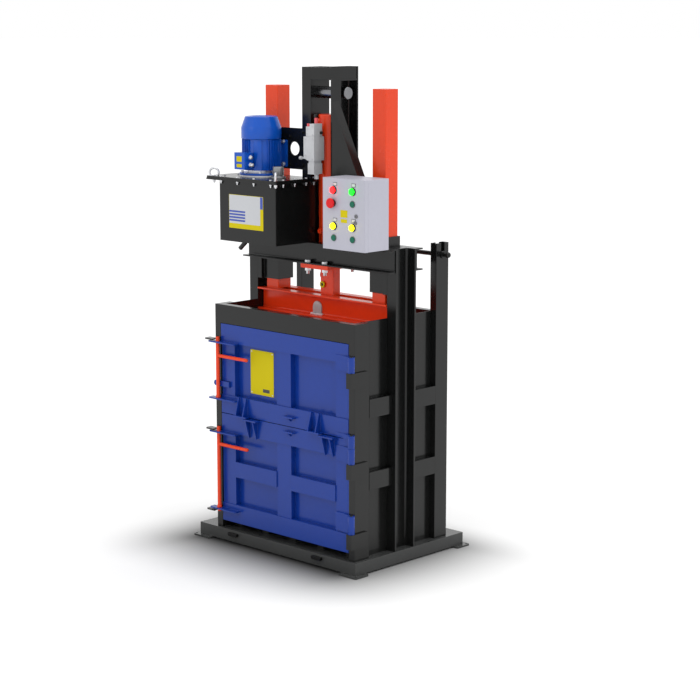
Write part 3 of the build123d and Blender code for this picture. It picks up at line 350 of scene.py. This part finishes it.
def lathe_into(bm, centre, axis, profile, seg=32, start=0.0):
    """profile: (radius, height) pairs in mm along axis from centre (layout mm)."""
    c = P(*centre)
    ax = Vector(axis).normalized()
    u = ax.orthogonal().normalized()
    w = ax.cross(u)
    rings = []
    for r, h in profile:
        if r < 1e-6:
            rings.append([bm.verts.new(c + ax * h / 1000.0)])
            continue
        rings.append([bm.verts.new(c + ax * h / 1000.0 + (u * math.cos(t) + w * math.sin(t)) * r / 1000.0)
                      for t in (start + 2 * math.pi * i / seg for i in range(seg))])
    for a, b in zip(rings, rings[1:]):
        if len(a) == 1 and len(b) == 1:
            continue
        for i in range(seg):
            j = (i + 1) % seg
            if len(a) == 1:
                bm.faces.new((a[0], b[i], b[j]))
            elif len(b) == 1:
                bm.faces.new((a[i], a[j], b[0]))
            else:
                bm.faces.new((a[i], a[j], b[j], b[i]))


def hexbolt_into(bm, centre, axis, flats=17.0, h=10.0, washer=True, shank=0.0):
    """Hex head with chamfered corners on a washer; centre on the seat."""
    base = 0.0
    if washer:
        lathe_into(bm, centre, axis, [(0, 0), (flats * 0.62, 0), (flats * 0.66, 0.5), (flats * 0.66, 1.6), (flats * 0.62, 2.1), (0, 2.1)], 28)
        base = 2.0
    c = P(*centre)
    ax = Vector(axis).normalized()
    u = ax.orthogonal().normalized()
    w = ax.cross(u)
    R = flats / math.sqrt(3)
    prof = [(R, base), (R, h + base - 1.4), (R * 0.87, h + base), (0, h + base)]
    rings = []
    for k, (r, hh) in enumerate(prof):
        if r == 0:
            rings.append([bm.verts.new(c + ax * hh / 1000.0)])
        else:
            rings.append([bm.verts.new(c + ax * hh / 1000.0 + (u * math.cos(t) + w * math.sin(t)) * r / 1000.0)
                          for t in (math.pi / 3 * i for i in range(6))])
    for a, b in zip(rings, rings[1:]):
        for i in range(6):
            j = (i + 1) % 6
            if len(b) == 1:
                bm.faces.new((a[i], a[j], b[0]))
            else:
                bm.faces.new((a[i], a[j], b[j], b[i]))
    bm.faces.new(rings[0][::-1])
    if shank:
        lathe_into(bm, centre, axis, [(0, h), (flats * 0.29, h), (flats * 0.29, h + shank - 1), (flats * 0.2, h + shank), (0, h + shank)], 20)


def prism_into(bm, pts, depth_axis, d0, d1):
    """pts are layout (x, z) for depth along y, (y, z) for x or (x, y) for z."""
    def at(p, d):
        if depth_axis == "y":
            return P(p[0], d, p[1])
        if depth_axis == "x":
            return P(d, p[0], p[1])
        return P(p[0], p[1], d)
    a = [bm.verts.new(at(p, d0)) for p in pts]
    b = [bm.verts.new(at(p, d1)) for p in pts]
    bm.faces.new(a)
    bm.faces.new(b[::-1])
    n = len(pts)
    for i in range(n):
        j = (i + 1) % n
        bm.faces.new((a[i], b[i], b[j], a[j]))


def round_rect(x0, x1, z0, z1, r, n=6):
    pts = []
    for cx, cz, a0 in ((x1 - r, z1 - r, 0), (x0 + r, z1 - r, 90), (x0 + r, z0 + r, 180), (x1 - r, z0 + r, 270)):
        for k in range(n + 1):
            t = math.radians(a0 + 90.0 * k / n)
            pts.append((cx + r * math.cos(t), cz + r * math.sin(t)))
    return pts


# ------------------------------------------------------------------ plates on the upper door and the tank
SKIN = 59.5
bm = bmesh.new()
prism_into(bm, round_rect(-892, -701, 907, 1166, 7), "y", SKIN - 1.6, SKIN + 0.4)
add("door_plate", bm, YELLOW, "upper_door")
bm = bmesh.new()
prism_into(bm, round_rect(-790, -735, 925, 945, 3), "y", SKIN - 1.9, SKIN - 1.5)
add("door_plate_field", bm, PLATE_DARK, "upper_door")
bm = bmesh.new()
for x, z in ((-882, 917), (-711, 917), (-882, 1156), (-711, 1156)):
    lathe_into(bm, (x, SKIN - 1.4, z), (0, -1, 0), [(0, -0.6), (4.2, -0.6), (4.2, 0.6), (3.2, 1.7), (0, 2.1)], 20)
add("door_plate_rivets", bm, ZINC, "upper_door", smooth=35)

TY = 6.0
bm = bmesh.new()
prism_into(bm, round_rect(-1002, -721, 1864, 2055, 3), "y", TY - 0.9, TY + 0.3)
add("tank_plate", bm, YELLOW, "frame")
bm = bmesh.new()
prism_into(bm, [(-1000, 2053), (-1000, 1892), (-745, 1892), (-745, 2053)], "y", TY - 1.3, TY - 0.8)
add("tank_plate_white_field", bm, WHITE, "frame")
bm = bmesh.new()
for k in range(4):
    z = 1904 + k * 17
    prism_into(bm, [(-1000, z), (-1000, z + 10), (-868, z + 10), (-868, z)], "y", TY - 1.6, TY - 1.2)
prism_into(bm, [(-745, 2053), (-745, 1985), (-724, 1985), (-724, 2053)], "y", TY - 1.4, TY - 0.8)
add("tank_plate_blue_bars", bm, PLATE_BLUE, "frame")

# ------------------------------------------------------------------ power pack details
MOTX, MOTY = -943.0, 206.0


def arc_into(bm, cx, cy, r0, r1, z0, z1, a0, a1, n=72):
    """Part of an upright ring, angles in degrees."""
    rows = []
    for k in range(n + 1):
        t = math.radians(a0 + (a1 - a0) * k / n)
        c, d = math.cos(t), math.sin(t)
        rows.append([bm.verts.new(P(cx + r * c, cy + r * d, z)) for r, z in ((r0, z0), (r1, z0), (r1, z1), (r0, z1))])
    for a, b in zip(rows, rows[1:]):
        for i in range(4):
            j = (i + 1) % 4
            bm.faces.new((a[i], a[j], b[j], b[i]))
    bm.faces.new(rows[0][::-1])
    bm.faces.new(rows[-1])


bm = bmesh.new()
for sx in (-1, 1):
    for z in (2216, 2344):
        hexbolt_into(bm, (MOTX + sx * 76, 310.2, z), (0, -1, 0), flats=19, h=10)
add("motor_foot_bolts", bm, ZINC, "frame", smooth=35)
bm = bmesh.new()
for a in (-48, 42, 132, 222):
    t = math.radians(a)
    hexbolt_into(bm, (MOTX + 111 * math.cos(t), MOTY + 111 * math.sin(t), 2171), (0, 0, 1), flats=15, h=8)
add("motor_flange_bolts", bm, ZINC, "frame", smooth=35)
# bright machined rim of the motor's seat on the lid
bm = bmesh.new()
arc_into(bm, MOTX, MOTY, 126.3, 127.1, 2151.1, 2158.8, 107.8, 432.2)
add("motor_seat_ring", bm, BRIGHT, "frame", smooth=35)
# polished sleeve round the neck over the flange
bm = bmesh.new()
lathe_into(bm, (MOTX, MOTY, 2171), (0, 0, 1), [(77.8, 0.2), (80.4, 0.2), (80.4, 15.6), (77.8, 15.6), (77.8, 0.2)], 64)
add("motor_neck_sleeve", bm, ZINC, "frame", smooth=35)
# cable glands on the terminal box
bm = bmesh.new()
for z, e in ((2264, 0), (2222, 10)):
    lathe_into(bm, (-886, 66, z), (1, 0, 0), [(0, -0.2), (13.5, -0.2), (13.5, 4), (11, 5.5), (11, 8 + e), (9.5, 12 + e), (5, 14.5 + e), (0, 15 + e)], 24)
add("terminal_glands", bm, ZINC, "frame", smooth=30)
bm = bmesh.new()
prism_into(bm, round_rect(-962, -919, 2240, 2271, 3), "y", 29.2, 30.4)
prism_into(bm, round_rect(-962, -919, 2208, 2227, 3), "y", 29.2, 30.4)
add("terminal_plates", bm, YELLOW, "frame")
# rings pressed into the cowl's air inlet on top
bm = bmesh.new()
for r in (18, 34, 50, 66):
    lathe_into(bm, (MOTX, MOTY, 2490), (0, 0, 1), [(r - 3, -0.3), (r - 1.8, 1.0), (r + 1.8, 1.0), (r + 3, -0.3)], 48)
add("cowl_inlet_rings", bm, MOTOR, "frame", smooth=35)
# bolts that hold the bracket plate to the tower
bm = bmesh.new()
for x, z in ((-722, 2215), (-722, 2399), (-600, 2215), (-600, 2399)):
    hexbolt_into(bm, (x, 321.5, z), (0, -1, 0), flats=14, h=7)
for x, z in ((-829, 2374), (-829, 2214)):
    hexbolt_into(bm, (x, 321.5, z), (0, -1, 0), flats=13, h=5)
add("bracket_bolts", bm, DARK, "frame", smooth=35)

# ------------------------------------------------------------------ valve details
vx1, vy0 = -553.0, 241.0
bm = bmesh.new()
for x, z in ((-624, 2374), (-565, 2374), (-565, 2266), (-624, 2284)):
    lathe_into(bm, (x, vy0, z), (0, -1, 0), [(0, -0.4), (5.5, -0.4), (5.5, 3.2), (4.6, 4.2), (2.6, 4.2), (2.2, 2.4), (0, 2.4)], 20)
for x, z in ((-605, 2399), (-564, 2399), (-605, 2431), (-564, 2448)):
    lathe_into(bm, (x, vy0, z), (0, -1, 0), [(0, -0.4), (4.5, -0.4), (4.5, 2.6), (3.8, 3.4), (2.2, 3.4), (1.8, 2.0), (0, 2.0)], 20)
add("valve_screws", bm, VALVE, "frame", smooth=35)
bm = bmesh.new()
lathe_into(bm, (vx1, 294, 2408), (1, 0, 0), [(0, -0.5), (9, -0.5), (9, 5), (7, 6), (7, 12), (5.5, 13.5), (0, 13.5)], 24)
add("valve_fitting", bm, BLACKP, "frame", smooth=35)
# closed fitting in the cylinder's lower port, elbow on the upper one
bm = bmesh.new()
lathe_into(bm, (XM, 325.0, 1850), (0, -1, 0), [(0, -0.5), (15, -0.5), (16, 1), (16, 9), (14, 11), (7, 11), (7, 5), (0, 5)], 6)
add("port_plugs", bm, RAM, "frame", smooth=30)
bm = bmesh.new()
ex, ey = XM - 0.6 * 72, YM - 0.8 * 72
lathe_into(bm, (ex, ey, 2466), (-0.6, -0.8, 0), [(0, -0.5), (13, -0.5), (13.6, 0.5), (13.6, 5), (10.5, 6), (10.5, 12), (0, 12)], 28)
lathe_into(bm, (XM - 0.6 * 82, YM - 0.8 * 82, 2456), (0, 0, 1), [(0, 0), (7, 0.6), (9.2, 3), (9.2, 34), (10.8, 35), (10.8, 46), (9.8, 47.5), (7.0, 51), (0, 52)], 28)
add("port_elbow", bm, BLACKP, "frame", smooth=35)

# ------------------------------------------------------------------ ram details
CHY = 364.0
arch = [(-681, 1370), (-613, 1370)] + [(-647 + 34 * math.cos(math.radians(a)), 1404 + 34 * math.sin(math.radians(a))) for a in range(0, 181, 12)]
bm = bmesh.new()
prism_into(bm, arch, "y", CHY - 9, CHY + 0.3)
bmesh.ops.bevel(bm, geom=[e for e in bm.edges], offset=0.0012, segments=2, profile=0.5, affect="EDGES")
add("crosshead_plate", bm, ARCH, "ram", smooth=30)
bm = bmesh.new()
box_into(bm, (-694, 348, 1360.2), (-603, 364.2, 1369), 1.2)
add("crosshead_ledge", bm, BRIGHT, "ram", smooth=30)
bm = bmesh.new()
lathe_into(bm, (XM - 27, 368, 1537), (0, -1, 0), [(9.5, -0.5), (18, -0.5), (18.5, 0.5), (18.5, 4.5), (17.5, 5.5), (10.2, 5.5), (9.5, 4.8), (9.5, -0.5)], 40)
add("grease_ring", bm, YELLOW, "ram", smooth=35)
bm = bmesh.new()
lathe_into(bm, (XM - 27, 368, 1537), (0, -1, 0), [(0, -0.3), (9.4, -0.3), (9.4, 1.5), (4, 1.5), (3.2, 6.5), (0, 7)], 28)
add("grease_nipple", bm, BLACKP, "ram", smooth=35)

# ------------------------------------------------------------------ cabinet details (ride on its door)
CY = 78.0
bm = bmesh.new()
for x, z in ((-240, 2122), (-96, 2121), (-238, 1926), (-96, 1926)):
    lathe_into(bm, (x, CY - 6.9, z), (0, -1, 0), [(17.3, -0.2), (20.3, -0.2), (20.3, 0.6), (19.6, 1.2), (17.9, 1.2), (17.3, 0.6), (17.3, -0.2)], 40)
    lathe_into(bm, (x, CY, z), (0, -1, 0), [(20.1, 0.2), (20.5, 0.4), (20.5, 6.9), (20.1, 7.1)], 40)
    lathe_into(bm, (x, CY, z), (0, -1, 0), [(20.1, -0.1), (22.5, -0.1), (22.5, 1.4), (20.1, 1.8)], 40)
add("bezel_sleeves", bm, BLACKP, "cabinet_door", smooth=35)
bm = bmesh.new()
for x, z in ((-229, 2155), (-90, 2156), (-229, 1961), (-90, 1964)):
    box_into(bm, (x - 15, CY - 1.4, z - 10), (x + 15, CY + 0.3, z + 10), 0.5)
add("legend_plates", bm, LEGEND_EDGE, "cabinet_door", smooth=30)
bm = bmesh.new()
for x, z in ((-229, 2155), (-90, 2156), (-229, 1961), (-90, 1964)):
    box_into(bm, (x - 12, CY - 1.9, z - 7), (x + 12, CY - 1.2, z + 7), 0.3)
add("legend_fields", bm, LEGEND, "cabinet_door", smooth=30)
bm = bmesh.new()
prism_into(bm, round_rect(-188, -136, 1977, 2017, 3), "y", CY - 0.7, CY + 0.3)
prism_into(bm, round_rect(-185, -139, 1948, 1968, 3), "y", CY - 0.7, CY + 0.3)
add("cabinet_plates", bm, YELLOW, "cabinet_door")
bm = bmesh.new()
lathe_into(bm, (-246, CY, 2051), (0, -1, 0), [(11.3, -0.1), (22, -0.1), (22, 3), (19, 5), (11.5, 5)], 40)
add("stop_collar", bm, BLACKP, "cabinet_door", smooth=35)
for x, z, nm in ((-97, 2053, "top"), (-238, 1861, "left"), (-96, 1861, "right")):
    bm = bmesh.new()
    lathe_into(bm, (x, CY, z), (0, -1, 0), [(16.6, -0.1), (19.0, -0.1), (19.0, 2.6), (18.2, 3.4), (16.9, 3.4), (16.7, 2.6), (16.7, -0.1)], 40)
    add("teal_rim_" + nm, bm, CAPGREY, "cabinet_door", smooth=35)
bm = bmesh.new()
for x in (-215, -115):
    lathe_into(bm, (x, 190, 1787), (0, 0, -1), [(0, -0.4), (13.5, -0.4), (13.5, 5), (10.5, 7), (10, 13), (6, 16), (0, 16)], 24)
add("cabinet_glands", bm, BLACKP, "frame", smooth=30)

# ------------------------------------------------------------------ reel bar collars, hinge greasers, door weld beads
bm = bmesh.new()
for x in (-25.0, -1148.0):
    s = 1 if x > -500 else -1
    lathe_into(bm, (x + s * 0.4, 738, 1727), (s, 0, 0), [(13.1, 0), (21, 0), (21.6, 0.6), (21.6, 8.4), (21, 9), (13.1, 9)], 32)
add("reel_bar_collars", bm, DARK, "frame", smooth=35)


def bead(bm, a, b, r=3.0, step=4.5):
    """A weld bead as a row of overlapping ripples."""
    A, B = P(*a), P(*b)
    d = B - A
    n = max(2, int(d.length / (step / 1000.0)))
    ax = d.normalized()
    u = ax.orthogonal().normalized()
    w = ax.cross(u)
    prev = None
    first = None
    for i in range(n * 2 + 1):
        t = i / (n * 2)
        rr = (r if i % 2 else r * 0.78) / 1000.0
        ring = [bm.verts.new(A + d * t + (u * math.cos(k * math.pi / 3) + w * math.sin(k * math.pi / 3)) * rr) for k in range(6)]
        if prev:
            for k in range(6):
                j = (k + 1) % 6
                bm.faces.new((prev[k], prev[j], ring[j], ring[k]))
        else:
            first = ring
        prev = ring
    bm.faces.new(first[::-1])
    bm.faces.new(prev)


bm = bmesh.new()
for z in (923.5, 960.5):
    bead(bm, (-1098, 26.2, z), (-1032, 26.2, z), 2.4)
for z in (1194, 852, 860):
    bead(bm, (-1098, 19.2, z), (-954, 19.2, z), 2.2)
for xc in (-912.0, -322.0):
    bead(bm, (xc - 57, 19.2, 779), (xc + 57, 19.2, 779), 2.2)
    for dx in (-34, -26, 26, 34):
        bead(bm, (xc + dx, 19.2, 780), (xc + dx, 19.2, 880), 1.8)
bead(bm, (-566, 19.2, 822), (-486, 19.2, 822), 2.0)
add("upper_door_welds", bm, DOOR, "upper_door", smooth=60)
bm = bmesh.new()
for z in (660, 192, 200):
    bead(bm, (-1098, 19.2, z), (-954, 19.2, z), 2.2)
for xc in (-830.0, -214.0):
    bead(bm, (xc - 57, 19.2, 759), (xc + 57, 19.2, 759), 2.2)
    for dx in (-34, -26, 26, 34):
        bead(bm, (xc + dx, 19.2, 758), (xc + dx, 19.2, 658), 1.8)
bead(bm, (-566, 19.2, 744), (-486, 19.2, 744), 2.0)
add("lower_door_welds", bm, DOOR, "lower_door", smooth=60)

# ------------------------------------------------------------------ floor and light
floor = bpy.data.meshes.new("floor")
bm = bmesh.new()
R = 4000.0
vs = [bm.verts.new((x, y, -0.0002)) for x, y in ((-R, -R), (R, -R), (R, R), (-R, R))]
bm.faces.new(vs)
bm.to_mesh(floor)
bm.free()
fo = bpy.data.objects.new("floor", floor)
bpy.context.scene.collection.objects.link(fo)
FM = Mat("floor_pale_painted_shadow", (238, 238, 238), rough=1.0, spec=0.0)
FM.shade(FM.noise(0.8, 3.0, 0.5), 0.995, 1.005)


def fmath(op, a, b=None):
    n = FM.N.new("ShaderNodeMath")
    n.operation = op
    for s, v in zip(n.inputs, (a, b)):
        if v is None:
            continue
        if isinstance(v, (int, float)):
            s.default_value = v
        else:
            FM.L.new(v, s)
    return n.outputs[0]


# painted shadow: the floor's colour is darkened towards the foot of the machine
# and reaches furthest in front of the doors, as a shadow from the light behind on the right would
def reach(axis, sign, start, width):
    return fmath("DIVIDE", fmath("MAXIMUM", fmath("SUBTRACT", fmath("MULTIPLY", FM.axis(axis), sign), start), 0.0), width)


_dx = fmath("ADD", reach(0, 1.0, 0.50, 0.75), reach(0, -1.0, 0.60, 0.56))
_dy = fmath("ADD", reach(1, 1.0, 0.40, 0.42), reach(1, -1.0, 0.46, 0.72))
_t = fmath("SQRT", fmath("ADD", fmath("MULTIPLY", _dx, _dx), fmath("MULTIPLY", _dy, _dy)))
_painted_shadow = fmath("MULTIPLY", fmath("POWER", fmath("SUBTRACT", 1.0, fmath("MINIMUM", _t, 1.0)), 1.7), 0.94)
# the painted shadow is mixed into the floor's colour towards black
FM.mix(_painted_shadow, (0, 0, 0))
floor.materials.append(FM.m)

world = bpy.data.worlds.new("world")
bpy.context.scene.world = world
world.use_nodes = True
bg = world.node_tree.nodes["Background"]
bg.inputs["Color"].default_value = (1.0, 1.0, 1.0, 1)
bg.inputs["Strength"].default_value = 1.0


def area(name, loc, target, size, power, color=(1, 1, 1)):
    d = bpy.data.lights.new(name, "AREA")
    d.shape = "RECTANGLE"
    d.size, d.size_y = size
    d.energy = power
    d.color = color
    o = bpy.data.objects.new(name, d)
    o.location = loc
    o.rotation_mode = "QUATERNION"
    o.rotation_quaternion = (Vector(target) - Vector(loc)).to_track_quat("-Z", "Y")
    bpy.context.scene.collection.objects.link(o)
    return o


sun_d = bpy.data.lights.new("soft_sun", "SUN")
sun_d.energy = 1.12
sun_d.angle = math.radians(70)
sun = bpy.data.objects.new("soft_sun", sun_d)
sun.rotation_mode = "QUATERNION"
sun.rotation_quaternion = Vector((-0.30, -0.22, -1.0)).to_track_quat("-Z", "Y")
bpy.context.scene.collection.objects.link(sun)
area("key", (-2.5, -8.0, 5.0), (0, 0, 1.4), (3.5, 3.0), 30)
